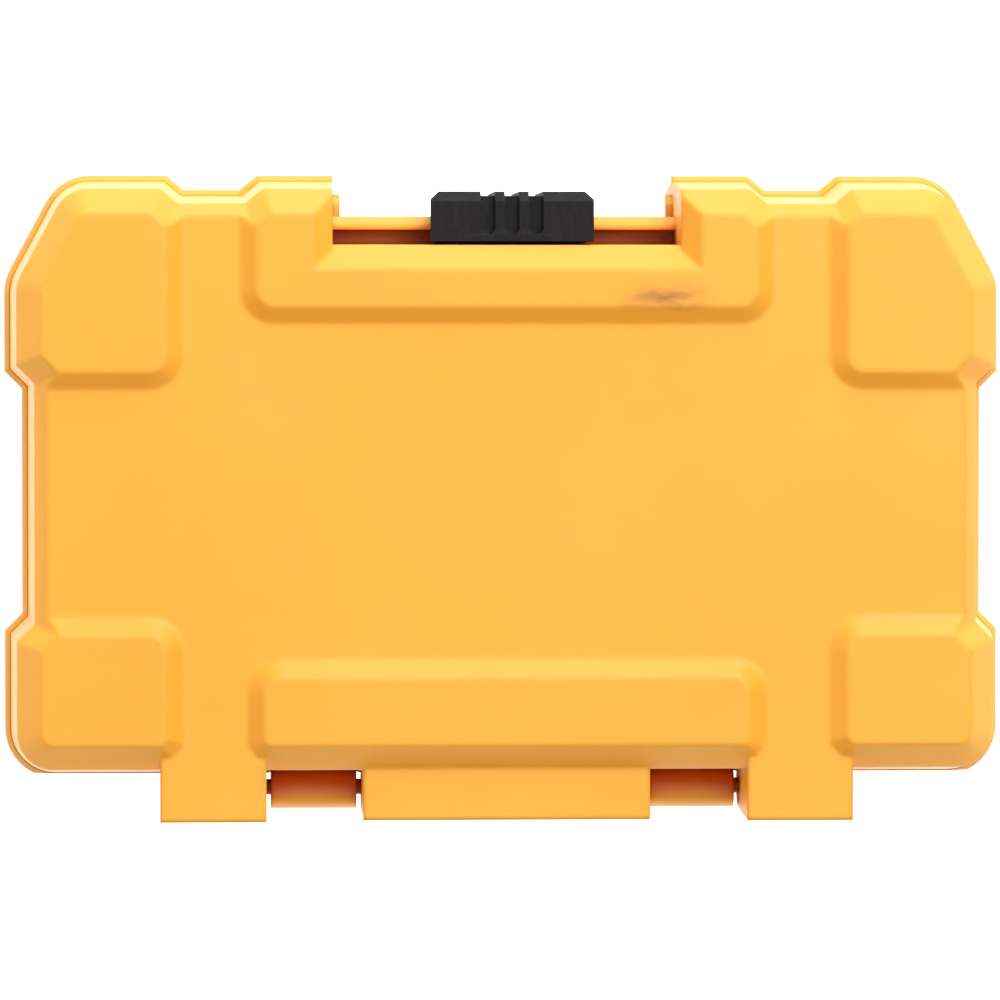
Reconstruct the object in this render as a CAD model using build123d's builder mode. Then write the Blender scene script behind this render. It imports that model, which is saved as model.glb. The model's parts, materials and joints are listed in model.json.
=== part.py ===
from build123d import *
from math import atan, cos, degrees, radians, sin, sqrt, tan
import os

os.makedirs("parts", exist_ok=True)

# Screwdriver bit case: two moulded shells on a rear pin hinge, a sliding latch in the
# finger recess at the front, and a tray with two tilting bit bars inside.
# Lengths in mm. The case lies on its base: X runs left to right, the latch faces -Y,
# the hinge is at +Y, +Z is up. Heights h are measured from the parting plane.

# Shells
case_length = 160.0        # over the corner bumpers, at the parting plane
case_depth = 96.0          # front rim to rear rim, without the hinge
shell_height = 20.0        # parting plane to the raised blocks, in each shell
wall = 2.2
draft_run = 1.6            # the side wall leans in by this over its height
rim_step = 0.8             # the rim bead stands out from the wall by this
rim_height = 1.7
edge_chamfer = 4.0         # 45 degree edge round the raised blocks
crest_round = 1.7          # plan radius of the case corners at the crest of that edge
corner_cut_x = 9.0         # the front corners are cut off at a slant
corner_cut_y = 16.8

# Raised blocks: a bumper on every corner, a handle block in front, a plain one behind
panel_drop = 2.0           # panel below the blocks
slope_run = 2.8            # plan width of the slope from the panel up to a block
side_step = 2.8            # the side walls between the bumpers lie in by this
front_notch = 2.3          # depth of the notch between a bumper and the handle block
bumper_length = 26.0       # along X
front_bumper_depth = 31.4  # along Y
rear_bumper_depth = 23.0
handle_length = 79.0
handle_depth = 21.0
rear_block_length = 76.8
rear_block_depth = 16.3
block_round = 1.5          # least plan radius of a block's corners

# Finger recess in the handle block
recess_length = 54.6       # at the parting plane
recess_depth = 10.95       # front rim to the recess wall
recess_draft = 0.35        # its walls lean back by this over their height
recess_side_chamfer = 3.0
recess_back_chamfer = 3.8

# Tongue of the base inside the rim of the lid
tongue_thick = 1.2
tongue_height = 1.2
tongue_gap = 0.2

# Hinge
hinge_reach = 2.4          # axis behind the rear rim
knuckle_radius = 3.45
ear_radius = 3.5
ear_lean = 0.75            # the ear is this much thicker at the panel
ear_inner = 22.8           # half length of the centre ear
knuckle_start = 23.6
knuckle_end = 37.3
outer_ear_start = 38.2
outer_ear_end = 55.0
knuckle_web = 6.0          # straight part of the web that carries a knuckle
pin_diameter = 2.5
pin_clearance = 0.08       # radial, where the knuckle turns on the pin
pin_end_depth = 1.0        # outer end of the pin below the ear's face
pin_grip = 8.0             # length of pin in the centre ear
hinge_clearance = 0.35
rib_thick = 1.7            # ribs behind the rear wall, where the hinge cuts into it

# Rail of the lid in the finger recess, and the latch that slides on it
rail_reach = 4.3           # recess wall to the rail's front
rail_bottom = 1.0
rail_thick = 1.6
rail_bead_width = 2.1
rail_bead_height = 5.0
rail_bevel = 1.3
rail_web_width = 1.1       # webs that tie the rail's ends to the recess's sides
rail_web_gap = 3.0         # front rim to the webs
latch_clearance = 0.25
latch_place = -0.95        # centre of the latch at rest
latch_length = 26.0
latch_draft = 1.5          # each end of the latch leans in by this towards its foot
latch_height = 28.0        # both sides of the parting plane together
latch_wall = 3.65          # front wall of the latch
latch_chamfer = 1.6
latch_corner = 1.25
latch_lip = 1.55           # lip of the latch below the rail
latch_travel = 6.5
grip_width = 2.3
grip_length = 6.6
grip_inset = 0.2           # latch front to the grips on its upper face
grip_pitch = 3.83
grip_depth = 1.5
front_grip_depth = 0.7
grip_count = 3
tab_width = 6.0            # catch tab of the base, and tooth of the latch
tab_thick = 2.0
tab_reach = 2.9            # recess wall to the tab's tip
tooth_thick = 1.8
tooth_gap = 7.0            # clear way for a tab between the teeth

# Tray
tray_side_gap = 1.1        # between the tray and the shell's side wall
tray_rear_gap = 0.4
tray_front_gap = 0.9
tray_wall = 1.6
tray_height = 11.3
tray_round = 5.0
tray_foot_chamfer = 1.2
cheek_thick = 2.2
cheek_gap = 5.3            # tray wall to the cheek
divider_gap = 0.8          # bits of the front bar to the divider
saddle_thick = 2.4

# Bit bars
bar_radius = 5.6           # round back of the bar, about its pivot
bar_front = 4.5            # pivot to the socket face
bar_floor_gap = 0.5
bar_end_gap = 0.4
bar_gap = 1.1              # bits of the rear bar to the front bar
trunnion_diameter = 5.0
trunnion_length = 2.4
trunnion_clearance = 0.1
slot_mouth = 4.7           # the trunnions snap in through this
socket_depth = 8.0
bit_pitch = 12.0

# Bits
bit_flats = 6.35           # quarter inch hex drive
bit_length = 25.0
bit_clearance = 0.05
bit_neck = 2.5
bit_tip = 6.0
bit_chamfer = 0.6
neck_flats = 4.2           # neck, where the tip starts
blade_thick = 1.1          # cross and slotted blades at the tip
cross_point = 0.9          # half span of a cross at its point
rib_share = 0.75           # span of the second cross of a pozidriv tip, of the first
star_root_share = 0.74     # radius between the lobes of a star, of the radius over them
star_flank = 10.0          # half angle of a lobe, in degrees
long_bit_length = 50.0
long_bit_pitch = 7.4
long_bit_gap = 3.0         # tray end to the long bits

# Magnetic bit holder
holder_gap = 1.9           # tray end to the holder
holder_shank_length = 24.0
holder_shank_seat = 6.0
holder_sleeve_length = 36.0
holder_sleeve_diameter = 11.0
holder_bit_depth = 12.0
magnet_diameter = 5.0
magnet_length = 4.0
ring_width = 0.9
ring_depth = 0.5
ring_inset = 1.8           # sleeve's mouth to the ring
groove_depth = 0.4
groove_width = 3.0
groove_from_end = 8.0

half_length = case_length / 2
half_depth = case_depth / 2
wall_height = shell_height - edge_chamfer
panel_level = shell_height - panel_drop
hinge_y = half_depth + hinge_reach
ear_back = hinge_y + ear_radius + ear_lean
body_y = (half_depth - ear_back) / 2
wall_line = -half_depth + recess_depth
crest_line = half_depth - draft_run - edge_chamfer
corner_round = crest_round + edge_chamfer + draft_run + rim_step
beyond = 20.0              # how far cutters and blocks run past the case


def level(height):
    """Plane parallel to the parting plane, at this height above it."""
    return Plane(origin=(0, body_y, shell_height + height))


def across(x):
    """Plane that faces +X at x; its own axes are Y from the body centre and height."""
    return Plane(origin=(x, body_y, shell_height), x_dir=(0, 1, 0), z_dir=(1, 0, 0))


def facing(y):
    """Plane that faces the front at y; its own axes are X and height."""
    return Plane(origin=(0, body_y + y, shell_height), x_dir=(1, 0, 0), z_dir=(0, -1, 0))


def case_plan(inset, rounded=True):
    """Plan of the case, moved inwards by inset, with its corners rounded or cut off.

    The rear line lies a rim step further out, because the rear wall has no bead.
    """
    handle_end = handle_length / 2
    bumper_end = half_length - bumper_length
    rear = half_depth + rim_step
    right = [
        (handle_end, -half_depth),
        (handle_end + slope_run, -half_depth + front_notch),
        (bumper_end - slope_run, -half_depth + front_notch),
        (bumper_end, -half_depth),
        (half_length - corner_cut_x, -half_depth),
        (half_length, -half_depth + corner_cut_y),
        (half_length, -half_depth + front_bumper_depth),
        (half_length - side_step, -half_depth + front_bumper_depth + slope_run),
        (half_length - side_step, half_depth - rear_bumper_depth - slope_run),
        (half_length, half_depth - rear_bumper_depth),
        (half_length, rear),
    ]
    left = [(-x, y) for x, y in reversed(right)]
    with BuildSketch() as plan:
        with BuildLine():
            Polyline(*right, *left, close=True)
        make_face()
        corners = plan.vertices().filter_by(
            lambda v: abs(v.X) > half_length - corner_cut_x - rim_step
            and (v.Y > half_depth or v.Y < -half_depth + corner_cut_y + rim_step)
        )
        if rounded:
            fillet(corners, corner_round)
        else:
            chamfer(corners, corner_round * (2 - sqrt(2)))
        if inset:
            offset(amount=-inset, kind=Kind.INTERSECTION)
    return plan.sketch


def stacked_plans(sections, rounded=True):
    """Solid through plans of the case; a section is a height and an inset."""
    with BuildPart() as form:
        for height, inset in sections:
            with BuildSketch(level(height)):
                add(case_plan(inset, rounded))
        loft(ruled=True)
        split(bisect_by=Plane.YZ, keep=Keep.BOTTOM)
        mirror(about=Plane.YZ)
    return form.part


def block_plan(x_min, x_max, y_min, y_max, radius):
    """Plan of a raised block, with round corners where the radius isn't zero."""
    with BuildSketch() as plan:
        with Locations(((x_min + x_max) / 2, (y_min + y_max) / 2)):
            if radius:
                RectangleRounded(x_max - x_min, y_max - y_min, radius)
            else:
                Rectangle(x_max - x_min, y_max - y_min)
    return plan.sketch


def panel_relief(inset, radius):
    """What lies above the panel and between the raised blocks."""
    panel = panel_level - inset
    slope = atan(slope_run / panel_drop)
    lift = panel_drop + rim_step
    run = slope_run * lift / panel_drop
    foot = slope_run - inset * tan((radians(90) - slope) / 2)
    bumper_x = half_length - bumper_length - foot
    far_x = half_length + beyond
    far_y = half_depth + beyond
    front_y = -half_depth + front_bumper_depth + foot
    rear_y = half_depth - rear_bumper_depth - foot
    handle_x = handle_length / 2 + foot
    block_x = rear_block_length / 2 + foot
    blocks = [
        (bumper_x, far_x, -far_y, front_y),
        (-far_x, -bumper_x, -far_y, front_y),
        (bumper_x, far_x, rear_y, far_y),
        (-far_x, -bumper_x, rear_y, far_y),
        (-handle_x, handle_x, -far_y, -half_depth + handle_depth + foot),
        (-block_x, block_x, half_depth - rear_block_depth - foot, far_y),
    ]
    with BuildPart() as relief:
        with BuildSketch(level(panel)):
            Rectangle(case_length + beyond, case_depth + beyond)
        extrude(amount=lift)
        for x_min, x_max, y_min, y_max in blocks:
            foot_radius = radius + run if radius else 0
            with BuildSketch(level(panel)):
                add(block_plan(x_min, x_max, y_min, y_max, foot_radius))
            with BuildSketch(level(panel + lift)):
                add(block_plan(x_min + run, x_max - run, y_min + run, y_max - run, radius))
            loft(ruled=True, mode=Mode.SUBTRACT)
    return relief.part


def finger_recess(grow):
    """Upper half of the finger recess, with its chamfered mouth, grown by a wall or not."""
    side_knee = shell_height - recess_side_chamfer - grow * (sqrt(2) - 1)
    back_knee = shell_height - recess_back_chamfer - grow * (sqrt(2) - 1)
    top = shell_height + wall
    side = recess_length / 2 + grow
    back = half_depth - recess_depth - grow
    side_foot = side + recess_draft
    back_foot = back - recess_draft
    with BuildPart() as recess:
        with BuildSketch(facing(0)):
            with BuildLine():
                Polyline(
                    (side, 0),
                    (side_foot, side_knee),
                    (side_foot + top - side_knee, top),
                    (-side_foot - top + side_knee, top),
                    (-side_foot, side_knee),
                    (-side, 0),
                    close=True,
                )
            make_face()
        extrude(amount=case_depth, both=True)
        with BuildSketch(across(0)):
            with BuildLine():
                Polyline(
                    (-case_depth, 0),
                    (-back, 0),
                    (-back_foot, back_knee),
                    (-back_foot + top - back_knee, top),
                    (-case_depth, top),
                    close=True,
                )
            make_face()
        extrude(amount=case_length, both=True, mode=Mode.INTERSECT)
    return recess.part


def half_form(inset, relief, recess):
    """One half of the case as a solid, standing on the parting plane, hollow or outer."""
    knee = wall_height - inset * (sqrt(2) - 1)
    crest = shell_height - inset
    lean = draft_run * knee / wall_height
    near = inset + rim_step
    with BuildPart() as form:
        sections = [(0, near), (knee, near + lean), (crest, near + lean + crest - knee)]
        add(stacked_plans(sections, rounded=inset == 0))
        add(relief, mode=Mode.SUBTRACT)
        add(recess, mode=Mode.SUBTRACT)
    return form.part


def rim_bead(recess):
    """Bead that stiffens the rim, with a 45 degree upper side; the rear wall has none."""
    with BuildPart() as bead:
        add(stacked_plans([(0, 0), (rim_height - rim_step, 0), (rim_height, rim_step)]))
        with BuildSketch(level(0)):
            with Locations((0, half_depth + beyond / 2)):
                Rectangle(case_length, beyond)
        extrude(amount=rim_height, mode=Mode.SUBTRACT)
        add(recess, mode=Mode.SUBTRACT)
    return bead.part


outer_recess = finger_recess(0)
outer_form = half_form(0, panel_relief(0, block_round), outer_recess)
hollow_form = half_form(wall, panel_relief(wall, 0), finger_recess(wall))
bead_form = rim_bead(outer_recess)

hinge_axis = (hinge_y, 0)
ear_spans = [
    (-outer_ear_end, -outer_ear_start),
    (-ear_inner, ear_inner),
    (outer_ear_start, outer_ear_end),
]
ear_tops = [panel_level, wall_height, panel_level]
knuckle_spans = [(-knuckle_end, -knuckle_start), (knuckle_start, knuckle_end)]
pin_start = ear_inner - pin_grip
pin_stop = outer_ear_end - pin_end_depth
pin_radius = pin_diameter / 2


def ear_profile(top):
    """Side view of an ear: flat above, at this height, and round about the pin below."""
    ear_face = hinge_y + ear_radius
    with BuildSketch() as profile:
        with BuildLine():
            Polyline(
                (crest_line, 0),
                (ear_face, 0),
                (ear_face + ear_lean * top / panel_level, top),
                (crest_line, top),
                close=True,
            )
        make_face()
        with Locations(hinge_axis):
            Circle(ear_radius)
    return profile.sketch


def knuckle_profile():
    """Side view of a knuckle of the base and the web that carries it."""
    face = hinge_y + knuckle_radius
    root = half_depth - wall
    with BuildSketch() as profile:
        with BuildLine():
            Polyline(
                (root, 0),
                (face, 0),
                (face, -knuckle_web),
                (root, -knuckle_web - face + root),
                close=True,
            )
        make_face()
        with Locations(hinge_axis):
            Circle(knuckle_radius)
    return profile.sketch


def rear_bars(spans, margin, y_min, y_max, low, high):
    """Straight bars along X, one to a span, for clearances and ribs at the rear wall."""
    with BuildPart() as bars:
        for x_min, x_max in spans:
            with BuildSketch(across(x_min - margin)):
                with Locations(((y_min + y_max) / 2, (low + high) / 2)):
                    Rectangle(y_max - y_min, high - low)
            extrude(amount=x_max - x_min + 2 * margin)
    return bars.part


def flare_plan(side, grow):
    """Plan of the way from the panel on to an outer ear, widened by grow."""
    foot = [
        (side * (rear_block_length / 2 + slope_run), crest_line),
        (side * (half_length - bumper_length - slope_run), crest_line),
        (side * outer_ear_end, crest_line + edge_chamfer),
        (side * outer_ear_end, ear_back),
        (side * outer_ear_start, ear_back),
        (side * outer_ear_start, crest_line + edge_chamfer),
    ]
    with BuildSketch() as plan:
        with BuildLine():
            Polyline(*foot, close=True)
        make_face()
        if grow:
            offset(amount=grow, kind=Kind.INTERSECTION)
    return plan.sketch


def tongue_ring(near, far, height):
    """Ring inside the rim, from one inset to another, left out along the hinge."""
    with BuildPart() as ring:
        with BuildSketch(level(0)):
            add(case_plan(near, rounded=False))
            add(case_plan(far, rounded=False), mode=Mode.SUBTRACT)
            with Locations((0, -half_depth + recess_depth / 2)):
                Rectangle(recess_length + 2 * near, recess_depth + 2 * near, mode=Mode.SUBTRACT)
        extrude(amount=height)
        with BuildSketch(level(0)):
            with Locations((0, half_depth)):
                Rectangle(2 * (outer_ear_end + wall), 2 * (wall + rim_step))
        extrude(amount=height, mode=Mode.SUBTRACT)
    return ring.part


tongue_near = rim_step + wall - tongue_thick
rabbet = tongue_ring(
    tongue_near - tongue_gap, rim_step + wall + tongue_gap, tongue_height + tongue_gap
)
tongue = tongue_ring(tongue_near, rim_step + wall, tongue_height)
far_back = ear_back + beyond
ear_way = hinge_y - ear_radius - ear_lean - hinge_clearance
knuckle_way = hinge_y - knuckle_radius - hinge_clearance
rib_margin = hinge_clearance + wall
flare_lift = panel_drop + rim_step

# Lid: shell, three ears for the hinge pins, and the rail for the latch
with BuildPart() as lid_shell:
    add(outer_form)
    for side in (-1, 1):
        with BuildSketch(level(panel_level)):
            add(flare_plan(side, 0))
        with BuildSketch(level(panel_level + flare_lift)):
            add(flare_plan(side, slope_run * flare_lift / panel_drop))
        loft(ruled=True, mode=Mode.SUBTRACT)
    add(bead_form)
    for (x_min, x_max), top in zip(ear_spans, ear_tops):
        with BuildSketch(across(x_min)):
            add(ear_profile(top))
        extrude(amount=x_max - x_min)
    add(hollow_form, mode=Mode.SUBTRACT)
    add(rabbet, mode=Mode.SUBTRACT)
    knuckle_cut = knuckle_web + edge_chamfer
    rib_low = tongue_height + tongue_gap
    add(rear_bars(
        knuckle_spans, rib_margin, knuckle_way - rib_thick, knuckle_way, rib_low, knuckle_cut
    ))
    add(
        rear_bars(knuckle_spans, hinge_clearance, knuckle_way, far_back, -beyond, knuckle_cut),
        mode=Mode.SUBTRACT,
    )
    for side in (-1, 1):
        with BuildSketch(across(side * pin_start)):
            with Locations(hinge_axis):
                Circle(pin_radius)
        extrude(amount=side * (outer_ear_end - pin_start + wall), mode=Mode.SUBTRACT)
    rail_root = wall_line + wall / 2
    rail_tip = wall_line - rail_reach
    rail_top = rail_bottom + rail_thick
    rail_bead_top = rail_top + rail_bead_height
    with BuildSketch(across(-(recess_length + wall) / 2)):
        with BuildLine():
            Polyline(
                (rail_root, rail_bottom),
                (rail_tip, rail_bottom),
                (rail_tip, rail_bead_top - rail_bevel),
                (rail_tip + rail_bevel, rail_bead_top),
                (rail_tip + rail_bead_width, rail_bead_top),
                (rail_tip + rail_bead_width, rail_top),
                (rail_root, rail_top),
                close=True,
            )
        make_face()
    extrude(amount=recess_length + wall)
    web_front = rail_web_gap - half_depth
    for side in (-1, 1):
        with BuildSketch(across(side * (recess_length / 2 - rail_web_width))):
            with BuildLine():
                Polyline(
                    (rail_tip + rail_bead_width, rail_bottom),
                    (web_front, rail_bottom),
                    (web_front + rail_thick, rail_top),
                    (rail_tip + rail_bead_width, rail_top),
                    close=True,
                )
            make_face()
        extrude(amount=side * (rail_web_width + wall / 2))

# Base: the same shell the other way up, with the tongue, two knuckles and the catch tabs
tooth_places = [latch_place + side * (tab_width + tooth_gap) / 2 for side in (-1, 1)]
tab_places = [x + latch_travel for x in tooth_places]
tab_top = -rail_bottom
tab_bottom = tab_top - tab_thick
with BuildPart() as base_shell:
    add(mirror(outer_form, about=level(0)))
    add(mirror(bead_form, about=level(0)))
    for x_min, x_max in knuckle_spans:
        with BuildSketch(across(x_min)):
            add(knuckle_profile())
        extrude(amount=x_max - x_min)
    add(mirror(hollow_form, about=level(0)), mode=Mode.SUBTRACT)
    add(rear_bars(
        ear_spans, rib_margin, ear_way - rib_thick, ear_way, rim_step + wall - wall_height, 0
    ))
    add(
        rear_bars(ear_spans, hinge_clearance, ear_way, far_back, -shell_height, beyond),
        mode=Mode.SUBTRACT,
    )
    add(tongue)
    for side in (-1, 1):
        with BuildSketch(across(side * pin_start)):
            with Locations(hinge_axis):
                Circle(pin_radius + pin_clearance)
        extrude(amount=side * (outer_ear_end - pin_start), mode=Mode.SUBTRACT)
    for x in tab_places:
        with BuildSketch(across(x - tab_width / 2)):
            with Locations((wall_line + (wall / 2 - tab_reach) / 2, (tab_top + tab_bottom) / 2)):
                Rectangle(tab_reach + wall / 2, tab_thick)
        extrude(amount=tab_width)

for shell, name in ((lid_shell, "lid_shell"), (base_shell, "base_shell")):
    shell.part.label = name
    export_step(shell.part, f"parts/{name}.step")

# Hinge pins, pressed into the ears of the lid
for side, name in ((-1, "hinge_pin_left"), (1, "hinge_pin_right")):
    with BuildPart() as hinge_pin:
        with BuildSketch(across(side * pin_start)):
            with Locations(hinge_axis):
                Circle(pin_radius)
        extrude(amount=side * (pin_stop - pin_start))
    hinge_pin.part.label = name
    export_step(hinge_pin.part, f"parts/{name}.step")

# Latch: hooks round the bead of the rail; its teeth go under the catch tabs when it slides
latch_back = wall_line - latch_clearance
slot_front = rail_tip - latch_clearance
latch_front = slot_front - latch_wall
latch_half = latch_height / 2
slot_bottom = rail_bottom - latch_clearance
slot_top = rail_top + latch_clearance
bead_slot_top = rail_bead_top + latch_clearance
bead_slot_back = rail_tip + rail_bead_width + latch_clearance
lip_bottom = slot_bottom - latch_lip
tooth_top = tab_bottom - latch_clearance
grip_places = [latch_place + (i - (grip_count - 1) / 2) * grip_pitch for i in range(grip_count)]
latch_ends = [(-latch_half, latch_length / 2 - latch_draft), (latch_half, latch_length / 2)]
with BuildPart() as latch_slider:
    for height, half in latch_ends:
        with BuildSketch(level(height)):
            with BuildLine():
                Polyline(
                    (latch_place + half, latch_back),
                    (latch_place + half, latch_front + latch_corner),
                    (latch_place + half - latch_corner, latch_front),
                    (latch_place - half + latch_corner, latch_front),
                    (latch_place - half, latch_front + latch_corner),
                    (latch_place - half, latch_back),
                    close=True,
                )
            make_face()
    loft(ruled=True)
    with BuildSketch(across(latch_place)):
        with BuildLine():
            Polyline(
                (latch_back, latch_half),
                (latch_front + latch_chamfer, latch_half),
                (latch_front, latch_half - latch_chamfer),
                (latch_front, latch_chamfer - latch_half),
                (latch_front + latch_chamfer, -latch_half),
                (slot_front, -latch_half),
                (slot_front, lip_bottom),
                (latch_back, lip_bottom),
                (latch_back, slot_bottom),
                (slot_front, slot_bottom),
                (slot_front, bead_slot_top),
                (bead_slot_back, bead_slot_top),
                (bead_slot_back, slot_top),
                (latch_back, slot_top),
                close=True,
            )
        make_face()
    extrude(amount=latch_length, both=True, mode=Mode.INTERSECT)
    tooth_front = slot_front - latch_wall / 2
    for x in tooth_places:
        with BuildSketch(across(x - tab_width / 2)):
            with Locations(((latch_back + tooth_front) / 2, tooth_top - tooth_thick / 2)):
                Rectangle(latch_back - tooth_front, tooth_thick)
        extrude(amount=tab_width)
    with BuildSketch(level(latch_half)):
        grip_middle = latch_front + grip_inset + grip_length / 2
        with Locations(*[(x, grip_middle) for x in grip_places]):
            SlotOverall(grip_length, grip_width, rotation=90)
    extrude(amount=-grip_depth, mode=Mode.SUBTRACT)
    with BuildSketch(facing(latch_front)):
        with Locations(*[(x, 0) for x in grip_places]):
            Rectangle(grip_width, latch_height)
    extrude(amount=-front_grip_depth, mode=Mode.SUBTRACT)
latch_slider.part.label = "latch_slider"
export_step(latch_slider.part, "parts/latch_slider.step")

# Places inside the tray, from the shell's walls inwards; y values lie in the case's depth
tray_half = half_length - side_step - rim_step - draft_run - wall - tray_side_gap
tray_rear = ear_way - rib_thick - tray_rear_gap
tray_front = wall_line + wall + recess_draft + tray_front_gap
tray_inner = tray_half - tray_wall
tray_middle = (tray_rear + tray_front) / 2
inner_front = tray_front + tray_wall
bar_length = 2 * (tray_inner - cheek_gap - cheek_thick - bar_end_gap)
bits_per_bar = int(bar_length / bit_pitch)
bit_reach = bit_length + bar_front - socket_depth
rear_pivot_y = tray_rear - tray_wall - bar_floor_gap - bar_radius
front_pivot_y = rear_pivot_y - bit_reach - bar_gap - bar_radius
divider_y = front_pivot_y - bit_reach - divider_gap - tray_wall / 2
holder_y = (divider_y - tray_wall / 2 + inner_front) / 2
holder_start = holder_gap - tray_inner
long_bit_start = tray_inner - long_bit_gap - long_bit_length
floor_level = wall - panel_level
tray_floor = floor_level + tray_wall
pivot_level = tray_floor + bar_floor_gap + bar_radius
cheek_inner = bar_length / 2 + bar_end_gap
holder_radius = holder_sleeve_diameter / 2
holder_level = tray_floor + bar_floor_gap + holder_radius
long_bit_level = tray_floor + bar_floor_gap + bit_flats / sqrt(3)
sleeve_start = holder_start + holder_shank_length - holder_shank_seat
sleeve_end = sleeve_start + holder_sleeve_length
slot_radius = trunnion_diameter / 2 + trunnion_clearance
seat_radius = bit_flats / 2 + bit_clearance
long_bit_places = [(holder_y + side * long_bit_pitch / 2, long_bit_level) for side in (-1, 1)]
sleeve_saddles = [sleeve_start + saddle_thick, sleeve_end - 2 * saddle_thick]
long_bit_saddles = [long_bit_start + 3 * saddle_thick, long_bit_start + long_bit_length / 2]


def saddle_block(x):
    """Block between the tray's front wall and the divider, up to the middle of the holder."""
    with BuildPart() as block:
        with BuildSketch(across(x)):
            with Locations(((inner_front + divider_y) / 2, (tray_floor + holder_level) / 2)):
                Rectangle(divider_y - inner_front, holder_level - tray_floor)
        extrude(amount=saddle_thick)
    return block.part


# Tray in the base: floor, rim, cheeks that carry the bars, a divider and saddles in front
with BuildPart() as bit_tray:
    with BuildSketch(level(floor_level)):
        with Locations((0, tray_middle)):
            RectangleRounded(2 * tray_half, tray_rear - tray_front, tray_round)
    extrude(amount=tray_height)
    chamfer(bit_tray.faces().sort_by(Axis.Z)[0].edges(), tray_foot_chamfer)
    with BuildSketch(level(tray_floor)):
        with Locations((0, tray_middle)):
            RectangleRounded(
                2 * tray_inner, tray_rear - tray_front - 2 * tray_wall, tray_round - tray_wall
            )
    extrude(amount=tray_height, mode=Mode.SUBTRACT)
    cheek_depth = tray_rear - tray_wall / 2 - divider_y
    with BuildSketch(level(tray_floor)):
        with Locations((0, divider_y)):
            Rectangle(2 * tray_half - tray_wall, tray_wall)
        for side in (-1, 1):
            with Locations((side * (cheek_inner + cheek_thick / 2), divider_y + cheek_depth / 2)):
                Rectangle(cheek_thick, cheek_depth)
    extrude(amount=tray_height - tray_wall)
    for pivot_y in (rear_pivot_y, front_pivot_y):
        for side in (-1, 1):
            with BuildSketch(across(side * cheek_inner)):
                with Locations((pivot_y, pivot_level)):
                    Circle(slot_radius)
                with Locations((pivot_y, pivot_level + tray_height / 2)):
                    Rectangle(slot_mouth, tray_height)
            extrude(amount=side * cheek_thick, mode=Mode.SUBTRACT)
    for x in sleeve_saddles:
        add(saddle_block(x))
        with BuildSketch(across(x)):
            with Locations((holder_y, holder_level)):
                Circle(holder_radius + bit_clearance)
        extrude(amount=saddle_thick, mode=Mode.SUBTRACT)
    for x in long_bit_saddles:
        add(saddle_block(x))
        with BuildSketch(across(x)):
            with Locations(*long_bit_places):
                RegularPolygon(seat_radius, 6, major_radius=False, rotation=30)
            with Locations(*[(y, h + bit_flats / 2) for y, h in long_bit_places]):
                Rectangle(2 * seat_radius, bit_flats)
        extrude(amount=saddle_thick, mode=Mode.SUBTRACT)
bit_tray.part.label = "bit_tray"
export_step(bit_tray.part, "parts/bit_tray.step")

# Bit bars: a round back about the pivot, a flat face with the sockets, a trunnion at each end
bar_places = [(i - (bits_per_bar - 1) / 2) * bit_pitch for i in range(bits_per_bar)]
for pivot_y, name in ((rear_pivot_y, "rear_bit_bar"), (front_pivot_y, "front_bit_bar")):
    with BuildPart() as bit_bar:
        with BuildSketch(across(-bar_length / 2)):
            with Locations((pivot_y, pivot_level)):
                Circle(bar_radius)
            with Locations((pivot_y - bar_front / 2, pivot_level)):
                Rectangle(bar_front, 2 * bar_radius)
            with Locations((pivot_y - bar_front - bar_radius, pivot_level)):
                Rectangle(2 * bar_radius, 2 * bar_radius, mode=Mode.SUBTRACT)
        extrude(amount=bar_length)
        with BuildSketch(facing(pivot_y - bar_front)):
            with Locations(*[(x, pivot_level) for x in bar_places]):
                RegularPolygon(seat_radius, 6, major_radius=False, rotation=30)
        extrude(amount=-socket_depth, mode=Mode.SUBTRACT)
        for side in (-1, 1):
            with BuildSketch(across(side * bar_length / 2)):
                with Locations((pivot_y, pivot_level)):
                    Circle(trunnion_diameter / 2)
            extrude(amount=side * trunnion_length)
    bit_bar.part.label = name
    export_step(bit_bar.part, f"parts/{name}.step")


def cross_tip(reach, ribs):
    """Tip with two crossed blades that run to a point, and smaller ribs between them."""
    lean = degrees(atan((neck_flats / 2 - cross_point) / bit_tip))
    with BuildPart() as tip:
        with BuildSketch():
            Rectangle(neck_flats, blade_thick)
            Rectangle(blade_thick, neck_flats)
            if ribs:
                Rectangle(rib_share * neck_flats, blade_thick / 2, rotation=45)
                Rectangle(blade_thick / 2, rib_share * neck_flats, rotation=45)
        extrude(amount=reach)
        with BuildSketch():
            Rectangle(neck_flats, neck_flats)
        extrude(amount=reach, taper=lean, mode=Mode.INTERSECT)
    return tip.part


def star_plan(size):
    """Star with six flat lobes, over which it measures this size."""
    outer = size / 2
    root = outer * star_root_share
    corners = []
    for lobe in range(6):
        middle = radians(60 * lobe)
        flank = radians(star_flank)
        half_pitch = radians(30)
        for turn, radius in ((-flank, outer), (flank, outer), (half_pitch, root)):
            corners.append((radius * cos(middle + turn), radius * sin(middle + turn)))
    with BuildSketch() as plan:
        with BuildLine():
            Polyline(*corners, close=True)
        make_face()
    return plan.sketch


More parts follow.
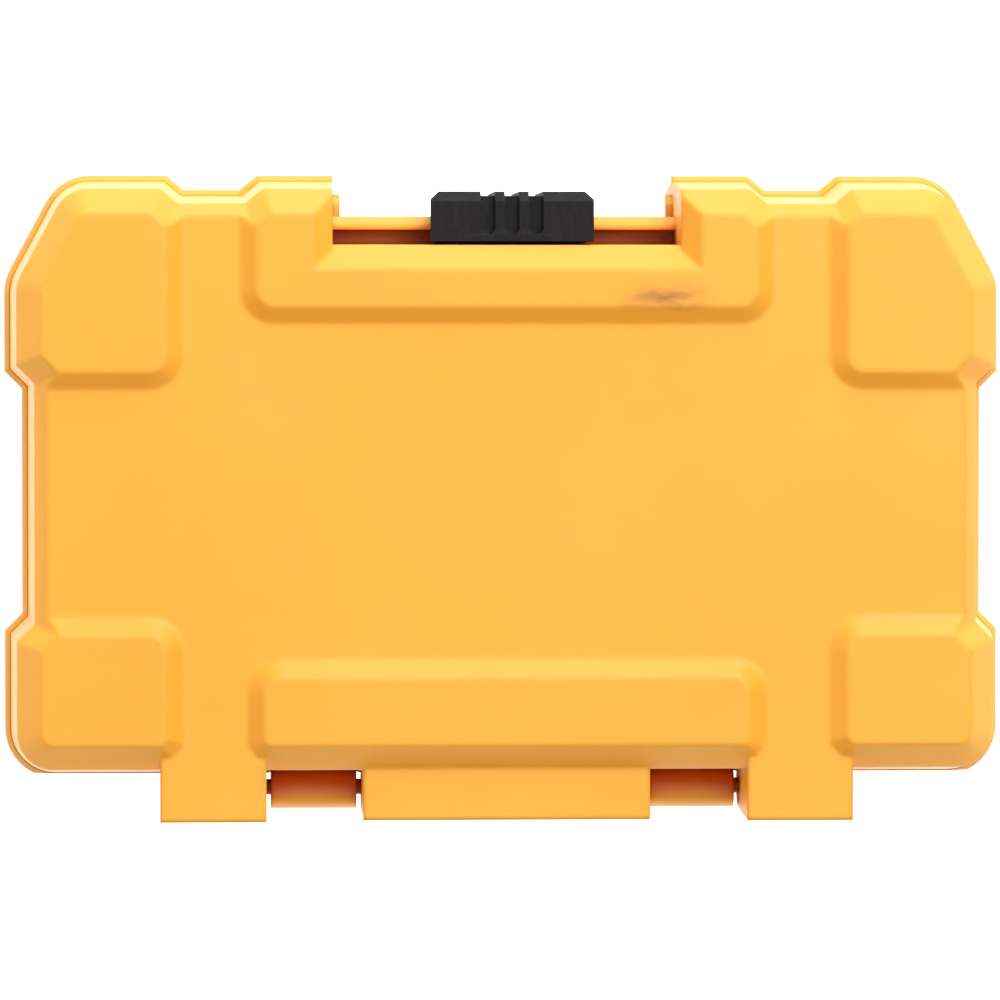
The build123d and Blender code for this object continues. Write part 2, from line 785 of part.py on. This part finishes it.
def bit_shape(length, kind, size):
    """Bit that stands on its drive end: hexagon shank, neck and a tip of this kind and size."""
    shank_end = length - bit_tip - bit_neck
    tip_start = length - bit_tip
    with BuildPart() as bit:
        with BuildSketch():
            RegularPolygon(bit_flats / 2, 6, major_radius=False, rotation=30)
        extrude(amount=shank_end)
        chamfer(bit.faces().sort_by(Axis.Z)[0].edges(), bit_chamfer)
        with BuildSketch(Plane.XY.offset(shank_end)):
            RegularPolygon(bit_flats / 2, 6, major_radius=False, rotation=30)
        extrude(amount=bit_neck, taper=degrees(atan((bit_flats - neck_flats) / 2 / bit_neck)))
        if kind in ("phillips", "pozidriv"):
            with Locations((0, 0, tip_start)):
                add(cross_tip(bit_tip * size, kind == "pozidriv"))
        elif kind == "slotted":
            with BuildSketch(Plane.YZ):
                with BuildLine():
                    Polyline(
                        (-neck_flats / 2, tip_start),
                        (neck_flats / 2, tip_start),
                        (blade_thick / 2, length),
                        (-blade_thick / 2, length),
                        close=True,
                    )
                make_face()
            extrude(amount=size / 2, both=True)
        else:
            with BuildSketch(Plane.XY.offset(tip_start)):
                if kind == "square":
                    Rectangle(size, size)
                elif kind == "hexagon":
                    RegularPolygon(size / 2, 6, major_radius=False, rotation=30)
                else:
                    add(star_plan(size))
            extrude(amount=bit_tip)
    return bit.part


# Bits in the bars, one node to a kind, from left to right; sizes are over the tip, and for
# the crosses a share of the full tip
bar_bits = [
    (rear_pivot_y, "phillips_bits", "phillips", [0.75, 1.0, 1.0, 1.0]),
    (rear_pivot_y, "pozidriv_bits", "pozidriv", [0.75, 1.0, 1.0]),
    (rear_pivot_y, "square_bits", "square", [2.3, 2.8, 3.35]),
    (front_pivot_y, "star_bits", "star", [3.3, 3.85, 4.4, 4.8]),
    (front_pivot_y, "hexagon_bits", "hexagon", [3.0, 4.0, 4.2]),
    (front_pivot_y, "slotted_bits", "slotted", [4.5, 5.5, 6.3]),
]
bar_index = {rear_pivot_y: 0, front_pivot_y: 0}
for pivot_y, name, kind, sizes in bar_bits:
    seat_y = pivot_y - bar_front + socket_depth
    shapes = [bit_shape(bit_length, kind, size) for size in sizes]
    first = bar_index[pivot_y]
    bar_index[pivot_y] += len(shapes)
    with BuildPart(facing(seat_y)) as bits:
        for shape, place in zip(shapes, bar_places[first:]):
            with Locations((place, pivot_level)):
                add(shape)
    bits.part.label = name
    export_step(bits.part, f"parts/{name}.step")

# Two long bits lie in the saddles in front, with a groove that a power driver's balls catch
long_bits = [
    (-1, "phillips", 1.0, "long_phillips_bit"),
    (1, "square", 2.8, "long_square_bit"),
]
for side, kind, size, name in long_bits:
    shape = bit_shape(long_bit_length, kind, size)
    with BuildPart(across(long_bit_start)) as long_bit:
        with Locations((holder_y + side * long_bit_pitch / 2, long_bit_level)):
            add(shape)
        for turn in range(6):
            with BuildSketch(across(long_bit_start + groove_from_end)):
                with Locations((holder_y + side * long_bit_pitch / 2, long_bit_level)):
                    with PolarLocations(bit_flats / sqrt(3), 1, start_angle=60 * turn + 30):
                        Rectangle(2 * groove_depth, bit_flats)
            extrude(amount=groove_width, mode=Mode.SUBTRACT)
    long_bit.part.label = name
    export_step(long_bit.part, f"parts/{name}.step")

# Magnetic bit holder: hexagon shank, sleeve, magnet behind the bit, spring ring at the mouth
holder_axis = (holder_y, holder_level)
bit_seat = sleeve_end - holder_bit_depth
magnet_start = bit_seat - magnet_length
ring_start = sleeve_end - ring_inset - ring_width
ring_bore = bit_flats / sqrt(3) + bit_clearance
with BuildPart() as holder_shank:
    with BuildSketch(across(holder_start)):
        with Locations(holder_axis):
            RegularPolygon(bit_flats / 2, 6, major_radius=False)
    extrude(amount=holder_shank_length)
    chamfer(holder_shank.faces().sort_by(Axis.X)[0].edges(), bit_chamfer)
holder_shank.part.label = "holder_shank"
export_step(holder_shank.part, "parts/holder_shank.step")

with BuildPart() as holder_sleeve:
    with BuildSketch(across(sleeve_start)):
        with Locations(holder_axis):
            Circle(holder_radius)
    extrude(amount=holder_sleeve_length)
    with BuildSketch(across(sleeve_start)):
        with Locations(holder_axis):
            RegularPolygon(bit_flats / 2, 6, major_radius=False)
    extrude(amount=holder_shank_seat, mode=Mode.SUBTRACT)
    with BuildSketch(across(bit_seat)):
        with Locations(holder_axis):
            RegularPolygon(seat_radius, 6, major_radius=False)
    extrude(amount=holder_bit_depth, mode=Mode.SUBTRACT)
    with BuildSketch(across(magnet_start)):
        with Locations(holder_axis):
            Circle(magnet_diameter / 2)
    extrude(amount=magnet_length, mode=Mode.SUBTRACT)
    with BuildSketch(across(ring_start)):
        with Locations(holder_axis):
            Circle(ring_bore + ring_depth)
    extrude(amount=ring_width, mode=Mode.SUBTRACT)
holder_sleeve.part.label = "holder_sleeve"
export_step(holder_sleeve.part, "parts/holder_sleeve.step")

with BuildPart() as holder_magnet:
    with BuildSketch(across(magnet_start)):
        with Locations(holder_axis):
            Circle(magnet_diameter / 2)
    extrude(amount=magnet_length)
holder_magnet.part.label = "holder_magnet"
export_step(holder_magnet.part, "parts/holder_magnet.step")

with BuildPart() as holder_ring:
    with BuildSketch(across(ring_start)):
        with Locations(holder_axis):
            Circle(ring_bore + ring_depth)
            Circle(ring_bore, mode=Mode.SUBTRACT)
        with Locations((holder_y, holder_level + ring_bore)):
            Rectangle(ring_bore, ring_bore, mode=Mode.SUBTRACT)
    extrude(amount=ring_width)
holder_ring.part.label = "holder_ring"
export_step(holder_ring.part, "parts/holder_ring.step")

holder_bit_shape = bit_shape(bit_length, "phillips", 1.0)
with BuildPart(across(bit_seat)) as holder_bit:
    with Locations(holder_axis):
        add(holder_bit_shape, rotation=(0, 0, 30))
holder_bit.part.label = "holder_bit"
export_step(holder_bit.part, "parts/holder_bit.step")
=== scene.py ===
import json
import math

import bpy
from mathutils import Matrix, Vector


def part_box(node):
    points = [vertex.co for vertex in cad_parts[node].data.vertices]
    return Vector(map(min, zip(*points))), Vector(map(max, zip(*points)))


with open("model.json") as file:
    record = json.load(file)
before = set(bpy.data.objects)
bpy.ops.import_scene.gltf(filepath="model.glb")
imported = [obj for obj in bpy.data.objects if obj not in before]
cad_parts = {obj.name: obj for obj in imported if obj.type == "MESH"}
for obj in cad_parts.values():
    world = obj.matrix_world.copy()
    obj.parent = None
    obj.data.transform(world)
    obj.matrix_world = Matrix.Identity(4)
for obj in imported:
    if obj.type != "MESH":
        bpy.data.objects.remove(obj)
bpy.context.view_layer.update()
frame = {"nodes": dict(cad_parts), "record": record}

MM = 0.001

# Places read off the frame; the body is the case without its hinge ears
BODY_DEPTH = 96.0 * MM
lid_low, lid_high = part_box("lid_shell")
BODY_MIDDLE = Vector((0, lid_low.y + BODY_DEPTH / 2, lid_high.z))

# Camera: above the lid, a little towards the latch and towards the picture's left side.
# Both points are measured from the middle of the body's top.
CAMERA_PLACE = Vector((47.7, -25.4, 955.3)) * MM
CAMERA_AIM = Vector((1.3, 3.6, 0.0)) * MM
PICTURE_UP = Vector((0, -1, 0))
PICTURE_WIDTH_PX = 1000
FOCAL_LENGTH_PX = 6056.0
SENSOR_WIDTH = 36.0
NEAREST_SEEN = 0.05
FARTHEST_SEEN = 20


def make_camera():
    """Camera above the lid, with the latch at the picture's upper side."""
    data = bpy.data.cameras.new("camera")
    camera = bpy.data.objects.new("camera", data)
    bpy.context.scene.collection.objects.link(camera)
    bpy.context.scene.camera = camera
    data.sensor_width = SENSOR_WIDTH
    data.lens = FOCAL_LENGTH_PX * SENSOR_WIDTH / PICTURE_WIDTH_PX
    back = (CAMERA_PLACE - CAMERA_AIM).normalized()
    right = PICTURE_UP.cross(back).normalized()
    turn = Matrix((right, back.cross(right), back)).transposed().to_4x4()
    camera.matrix_world = Matrix.Translation(BODY_MIDDLE + CAMERA_PLACE) @ turn
    data.clip_start = NEAREST_SEEN
    data.clip_end = FARTHEST_SEEN


make_camera()


# Materials: colours are in linear light, and noise scales are in bumps per metre.
# A list of stops pairs the noise's value with a colour, or with a grey for roughness.
SHADER_SAMPLES = 8

SHELL_CLOUD_SCALE = 22
SHELL_COLOURS = [(0.3, (0.93, 0.405, 0.035)), (0.7, (0.97, 0.435, 0.045))]
SHELL_PATCH_SCALE = 260
SHELL_ROUGHNESS = [(0.3, 0.36), (0.7, 0.46)]
SHELL_SPECULAR = 0.4
SHELL_SCATTER = 0.08
SHELL_SCATTER_RADIUS = (0.004, 0.002, 0.0005)
SHELL_SCATTER_SCALE = 0.5
SHELL_EDGE_ROUND = 1.3 * MM
SHELL_GRAIN = {"scale": 4200, "detail": 3, "strength": 0.10, "distance": 0.04 * MM}
SHELL_WAVES = {"scale": 90, "detail": 2, "strength": 0.06, "distance": 0.6 * MM}

# Painted shade in hollows, a deep orange where shadow falls: how far the facing wall may be,
# and how open a place is that has no painted shade
PAINTED_SHADE_TINT = (0.55, 0.2, 0.05)
LID_PAINTED_SHADE = {"reach": 9.0 * MM, "clear_from": 0.4}
BASE_PAINTED_SHADE = {"reach": 14.0 * MM, "clear_from": 0.85}

# The lid has a faint rubbed stain on its handle block, beside the finger recess
STAIN_PLACE = Vector((-25.0, -28.5, 0.0)) * MM
STAIN_REACH = Vector((9.0, 3.5, 3.0)) * MM
STAIN_COLOUR = (0.42, 0.15, 0.035, 1)
STAIN_STREAK_SCALE = 260
STAIN_STREAK_STRETCH = (0.35, 1, 1)
STAIN_STREAKS = [(0.42, 0.0), (0.62, 1.0)]

BLACK_SCUFF_SCALE = 900
BLACK_SCUFF_STRETCH = (1, 0.25, 0.25)
BLACK_COLOURS = [
    (0.45, (0.008, 0.007, 0.0085)),
    (0.68, (0.013, 0.012, 0.013)),
    (0.8, (0.05, 0.046, 0.042)),
]
BLACK_PATCH_SCALE = 500
BLACK_ROUGHNESS = [(0.3, 0.42), (0.7, 0.6)]
BLACK_SPECULAR = 0.16
BLACK_GRAIN = {"scale": 3000, "detail": 3, "strength": 0.12, "distance": 0.05 * MM}

STEEL_GRAIN_STRENGTH = 0.15
STEEL_GRAIN_DISTANCE = 0.03 * MM
DRAWN_STEEL = {
    "colours": [(0.3, (0.5, 0.5, 0.5)), (0.7, (0.62, 0.62, 0.61))],
    "roughness": [(0.3, 0.25), (0.7, 0.4)],
    "scale": 2500,
    "stretch": (0.1, 1, 1),
}
BLASTED_STEEL = {
    "colours": [(0.3, (0.28, 0.28, 0.28)), (0.7, (0.4, 0.4, 0.395))],
    "roughness": [(0.3, 0.38), (0.7, 0.55)],
    "scale": 3500,
    "stretch": (1, 1, 1),
}
TURNED_STEEL = {
    "colours": [(0.3, (0.5, 0.5, 0.5)), (0.7, (0.62, 0.62, 0.61))],
    "roughness": [(0.3, 0.22), (0.7, 0.34)],
    "scale": 2500,
    "stretch": (1, 0.1, 0.1),
}
NICKEL_PLATE = {
    "colours": [(0.3, (0.6, 0.58, 0.53)), (0.7, (0.7, 0.68, 0.63))],
    "roughness": [(0.3, 0.15), (0.7, 0.25)],
    "scale": 900,
    "stretch": (1, 1, 1),
}


def new_material(name):
    """Material with a Principled shader; returns the material, its nodes, links and shader."""
    material = bpy.data.materials.new(name)
    material.use_nodes = True
    tree = material.node_tree
    shader = tree.nodes["Principled BSDF"]
    return material, tree.nodes, tree.links, shader


def object_noise(nodes, links, scale, detail, roughness=0.55, stretch=(1, 1, 1)):
    """Noise in object space, with its scale in bumps per metre."""
    coordinates = nodes.new("ShaderNodeTexCoord")
    mapping = nodes.new("ShaderNodeMapping")
    mapping.inputs["Scale"].default_value = stretch
    noise = nodes.new("ShaderNodeTexNoise")
    noise.inputs["Scale"].default_value = scale
    noise.inputs["Detail"].default_value = detail
    noise.inputs["Roughness"].default_value = roughness
    links.new(coordinates.outputs["Object"], mapping.inputs["Vector"])
    links.new(mapping.outputs["Vector"], noise.inputs["Vector"])
    return noise.outputs["Fac"]


def ramp(nodes, links, value, stops):
    """Colour ramp over a value; stops are (position, colour or grey)."""
    node = nodes.new("ShaderNodeValToRGB")
    elements = node.color_ramp.elements
    while len(elements) < len(stops):
        elements.new(0.5)
    for element, (position, colour) in zip(elements, stops):
        grey = isinstance(colour, (int, float))
        element.position = position
        element.color = (colour, colour, colour, 1) if grey else (*colour, 1)
    links.new(value, node.inputs["Fac"])
    return node.outputs["Color"]


def soften_edges(nodes, links, shader, radius):
    """Soft moulded rounds on the slopes' edges, as a turn of the surface's normals."""
    rounds = nodes.new("ShaderNodeBevel")
    rounds.samples = SHADER_SAMPLES
    rounds.inputs["Radius"].default_value = radius
    links.new(rounds.outputs["Normal"], shader.inputs["Normal"])


def add_bump(nodes, links, shader, height, strength, distance):
    """Bump from a height, chained after any bump that the shader already has."""
    bump = nodes.new("ShaderNodeBump")
    bump.inputs["Strength"].default_value = strength
    bump.inputs["Distance"].default_value = distance
    links.new(height, bump.inputs["Height"])
    before = shader.inputs["Normal"].links
    if before:
        links.new(before[0].from_socket, bump.inputs["Normal"])
    links.new(bump.outputs["Normal"], shader.inputs["Normal"])


def add_grain(nodes, links, shader, grain):
    """Bump from noise in object space."""
    height = object_noise(nodes, links, grain["scale"], grain["detail"])
    add_bump(nodes, links, shader, height, grain["strength"], grain["distance"])


def stain_mask(nodes, links, place):
    """Streaky patch about a place in object space, from 0 outside to 1 at its heart."""
    coordinates = nodes.new("ShaderNodeTexCoord")
    mapping = nodes.new("ShaderNodeMapping")
    mapping.vector_type = "TEXTURE"
    mapping.inputs["Location"].default_value = place
    mapping.inputs["Scale"].default_value = STAIN_REACH
    patch = nodes.new("ShaderNodeTexGradient")
    patch.gradient_type = "SPHERICAL"
    links.new(coordinates.outputs["Object"], mapping.inputs["Vector"])
    links.new(mapping.outputs["Vector"], patch.inputs["Vector"])
    streaks = object_noise(
        nodes, links, STAIN_STREAK_SCALE, detail=4, stretch=STAIN_STREAK_STRETCH
    )
    blend = nodes.new("ShaderNodeMath")
    blend.operation = "MULTIPLY"
    links.new(patch.outputs["Fac"], blend.inputs[0])
    links.new(ramp(nodes, links, streaks, STAIN_STREAKS), blend.inputs[1])
    return blend.outputs["Value"]


def stained(nodes, links, colour, place):
    """The colour with a streaky stain about a place in object space."""
    stain = nodes.new("ShaderNodeMix")
    stain.data_type = "RGBA"
    stain.inputs["B"].default_value = STAIN_COLOUR
    links.new(stain_mask(nodes, links, place), stain.inputs["Factor"])
    links.new(colour, stain.inputs["A"])
    return stain.outputs["Result"]


def with_painted_shade(nodes, links, colour, reach, clear_from):
    """The colour with painted shade: turned to a deep orange where the surface lies in a
    narrow hollow.
    """
    # Painted shade: ambient occlusion darkens the colour to a deep orange in narrow hollows,
    # where shadow falls
    occlusion = nodes.new("ShaderNodeAmbientOcclusion")
    occlusion.samples = SHADER_SAMPLES
    occlusion.inputs["Distance"].default_value = reach
    stops = [(clear_from / 2, PAINTED_SHADE_TINT), (clear_from, (1, 1, 1))]
    shade_tint = ramp(nodes, links, occlusion.outputs["AO"], stops)
    shaded = nodes.new("ShaderNodeMix")
    shaded.data_type = "RGBA"
    shaded.blend_type = "MULTIPLY"
    shaded.inputs["Factor"].default_value = 1.0
    links.new(colour, shaded.inputs["A"])
    links.new(shade_tint, shaded.inputs["B"])
    return shaded.outputs["Result"]


def shell_plastic(name, painted_shade, stain_place=None):
    """Satin moulded yellow-orange plastic: faint clouding, painted shade in narrow hollows,
    fine spark-eroded grain.
    """
    material, nodes, links, shader = new_material(name)
    cloud = object_noise(nodes, links, SHELL_CLOUD_SCALE, detail=3)
    colour = ramp(nodes, links, cloud, SHELL_COLOURS)
    if stain_place is not None:
        colour = stained(nodes, links, colour, stain_place)
    # Painted shade: the colour darkens to a deep orange in narrow hollows, where shadow falls
    colour = with_painted_shade(nodes, links, colour, painted_shade["reach"], painted_shade["clear_from"])
    links.new(colour, shader.inputs["Base Color"])
    patches = object_noise(nodes, links, SHELL_PATCH_SCALE, detail=5)
    links.new(ramp(nodes, links, patches, SHELL_ROUGHNESS), shader.inputs["Roughness"])
    shader.inputs["Subsurface Weight"].default_value = SHELL_SCATTER
    shader.inputs["Subsurface Radius"].default_value = SHELL_SCATTER_RADIUS
    shader.inputs["Subsurface Scale"].default_value = SHELL_SCATTER_SCALE
    shader.inputs["Specular IOR Level"].default_value = SHELL_SPECULAR
    soften_edges(nodes, links, shader, SHELL_EDGE_ROUND)
    add_grain(nodes, links, shader, SHELL_GRAIN)
    add_grain(nodes, links, shader, SHELL_WAVES)
    return material


def black_plastic(name):
    """Satin black moulded plastic with light scuffs and a few pale specks."""
    material, nodes, links, shader = new_material(name)
    scuffs = object_noise(
        nodes, links, BLACK_SCUFF_SCALE, detail=6, roughness=0.7, stretch=BLACK_SCUFF_STRETCH
    )
    links.new(ramp(nodes, links, scuffs, BLACK_COLOURS), shader.inputs["Base Color"])
    patches = object_noise(nodes, links, BLACK_PATCH_SCALE, detail=5)
    links.new(ramp(nodes, links, patches, BLACK_ROUGHNESS), shader.inputs["Roughness"])
    shader.inputs["Specular IOR Level"].default_value = BLACK_SPECULAR
    add_grain(nodes, links, shader, BLACK_GRAIN)
    return material


def steel(name, finish):
    """Steel with drawn or blasted grain: colour, roughness and bump follow the same noise."""
    material, nodes, links, shader = new_material(name)
    grain = object_noise(nodes, links, finish["scale"], detail=5, stretch=finish["stretch"])
    links.new(ramp(nodes, links, grain, finish["colours"]), shader.inputs["Base Color"])
    links.new(ramp(nodes, links, grain, finish["roughness"]), shader.inputs["Roughness"])
    shader.inputs["Metallic"].default_value = 1.0
    add_bump(nodes, links, shader, grain, STEEL_GRAIN_STRENGTH, STEEL_GRAIN_DISTANCE)
    return material


def assign(node, material):
    """Gives a CAD node its material."""
    obj = frame["nodes"][node]
    obj.data.materials.clear()
    obj.data.materials.append(material)


SLOT_MATERIALS = {
    "shell_plastic": shell_plastic("shell_plastic", BASE_PAINTED_SHADE),
    "black_plastic": black_plastic("black_plastic"),
    "spring_steel": steel("spring_steel", DRAWN_STEEL),
    "bit_steel": steel("bit_steel", BLASTED_STEEL),
    "holder_steel": steel("holder_steel", TURNED_STEEL),
    "magnet": steel("magnet_plate", NICKEL_PLATE),
}
for part in frame["record"]["subparts"]:
    assign(part["node"], SLOT_MATERIALS[part["material_slot"]])

to_lid_space = frame["nodes"]["lid_shell"].matrix_world.inverted()
stain_in_lid = to_lid_space @ (BODY_MIDDLE + STAIN_PLACE)
assign("lid_shell", shell_plastic("lid_plastic", LID_PAINTED_SHADE, stain_in_lid))


# Edges: the moulded pieces have small rounds, made by modifiers
BEVEL_WIDTHS = {
    "lid_shell": 0.4 * MM,
    "base_shell": 0.4 * MM,
    "latch_slider": 0.3 * MM,
    "bit_tray": 0.2 * MM,
    "rear_bit_bar": 0.25 * MM,
    "front_bit_bar": 0.25 * MM,
}
BEVEL_SEGMENTS = 3
SHARP_ANGLE = math.radians(24)
WELD_REACH = 0.002 * MM
FLAT_FACE_WEIGHT = 90


def round_edges(node, width):
    """Rounds the sharp edges of a CAD node with modifiers, which leave its mesh as it is."""
    obj = frame["nodes"][node]
    weld = obj.modifiers.new("weld", "WELD")
    weld.merge_threshold = WELD_REACH
    bevel = obj.modifiers.new("bevel", "BEVEL")
    bevel.width = width
    bevel.segments = BEVEL_SEGMENTS
    bevel.limit_method = "ANGLE"
    bevel.angle_limit = SHARP_ANGLE
    normals = obj.modifiers.new("normals", "WEIGHTED_NORMAL")
    normals.weight = FLAT_FACE_WEIGHT
    for polygon in obj.data.polygons:
        polygon.use_smooth = True


for node, width in BEVEL_WIDTHS.items():
    round_edges(node, width)


# Floor, surroundings and lamps
FLOOR_REACH = 2.5
FLOOR_COLOUR = (0.93, 0.93, 0.93, 1)
FLOOR_ROUGHNESS = 0.8
FLOOR_GLOW = 1.0
WHITE = (1, 1, 1, 1)
SURROUNDINGS_STRENGTH = 0.13

# Each lamp's name, place in metres, width in metres and power in watts
LAMPS = [
    ("key_lamp", (-0.40, -0.60, 1.05), 1.0, 15.0),
    ("rear_lamp", (-0.1, 0.55, 1.3), 1.0, 4.2),
    ("front_lamp", (-0.15, -1.1, 0.45), 0.8, 6.0),
    ("fill_lamp", (0.85, -0.15, 0.85), 1.0, 3.0),
]


def make_floor():
    """Plain pale floor under the case, lit by itself to an even white."""
    low, high = -FLOOR_REACH, FLOOR_REACH
    corners = [(low, low, 0), (high, low, 0), (high, high, 0), (low, high, 0)]
    mesh = bpy.data.meshes.new("floor")
    mesh.from_pydata(corners, [], [(0, 1, 2, 3)])
    floor = bpy.data.objects.new("floor", mesh)
    bpy.context.scene.collection.objects.link(floor)
    material, _, _, shader = new_material("floor")
    shader.inputs["Base Color"].default_value = FLOOR_COLOUR
    shader.inputs["Roughness"].default_value = FLOOR_ROUGHNESS
    shader.inputs["Emission Color"].default_value = WHITE
    shader.inputs["Emission Strength"].default_value = FLOOR_GLOW
    mesh.materials.append(material)


def make_surroundings():
    """Even white light from all around."""
    world = bpy.data.worlds.new("world")
    world.use_nodes = True
    background = world.node_tree.nodes["Background"]
    background.inputs["Color"].default_value = WHITE
    background.inputs["Strength"].default_value = SURROUNDINGS_STRENGTH
    bpy.context.scene.world = world


def make_lamp(name, place, width, watts):
    """Square soft lamp that faces the frame's origin."""
    data = bpy.data.lights.new(name, "AREA")
    data.size = width
    data.energy = watts
    lamp = bpy.data.objects.new(name, data)
    lamp.location = place
    lamp.rotation_euler = (-Vector(place)).to_track_quat("-Z", "Y").to_euler()
    bpy.context.scene.collection.objects.link(lamp)


make_floor()
make_surroundings()
for lamp in LAMPS:
    make_lamp(*lamp)

bpy.context.scene.view_settings.view_transform = "Standard"
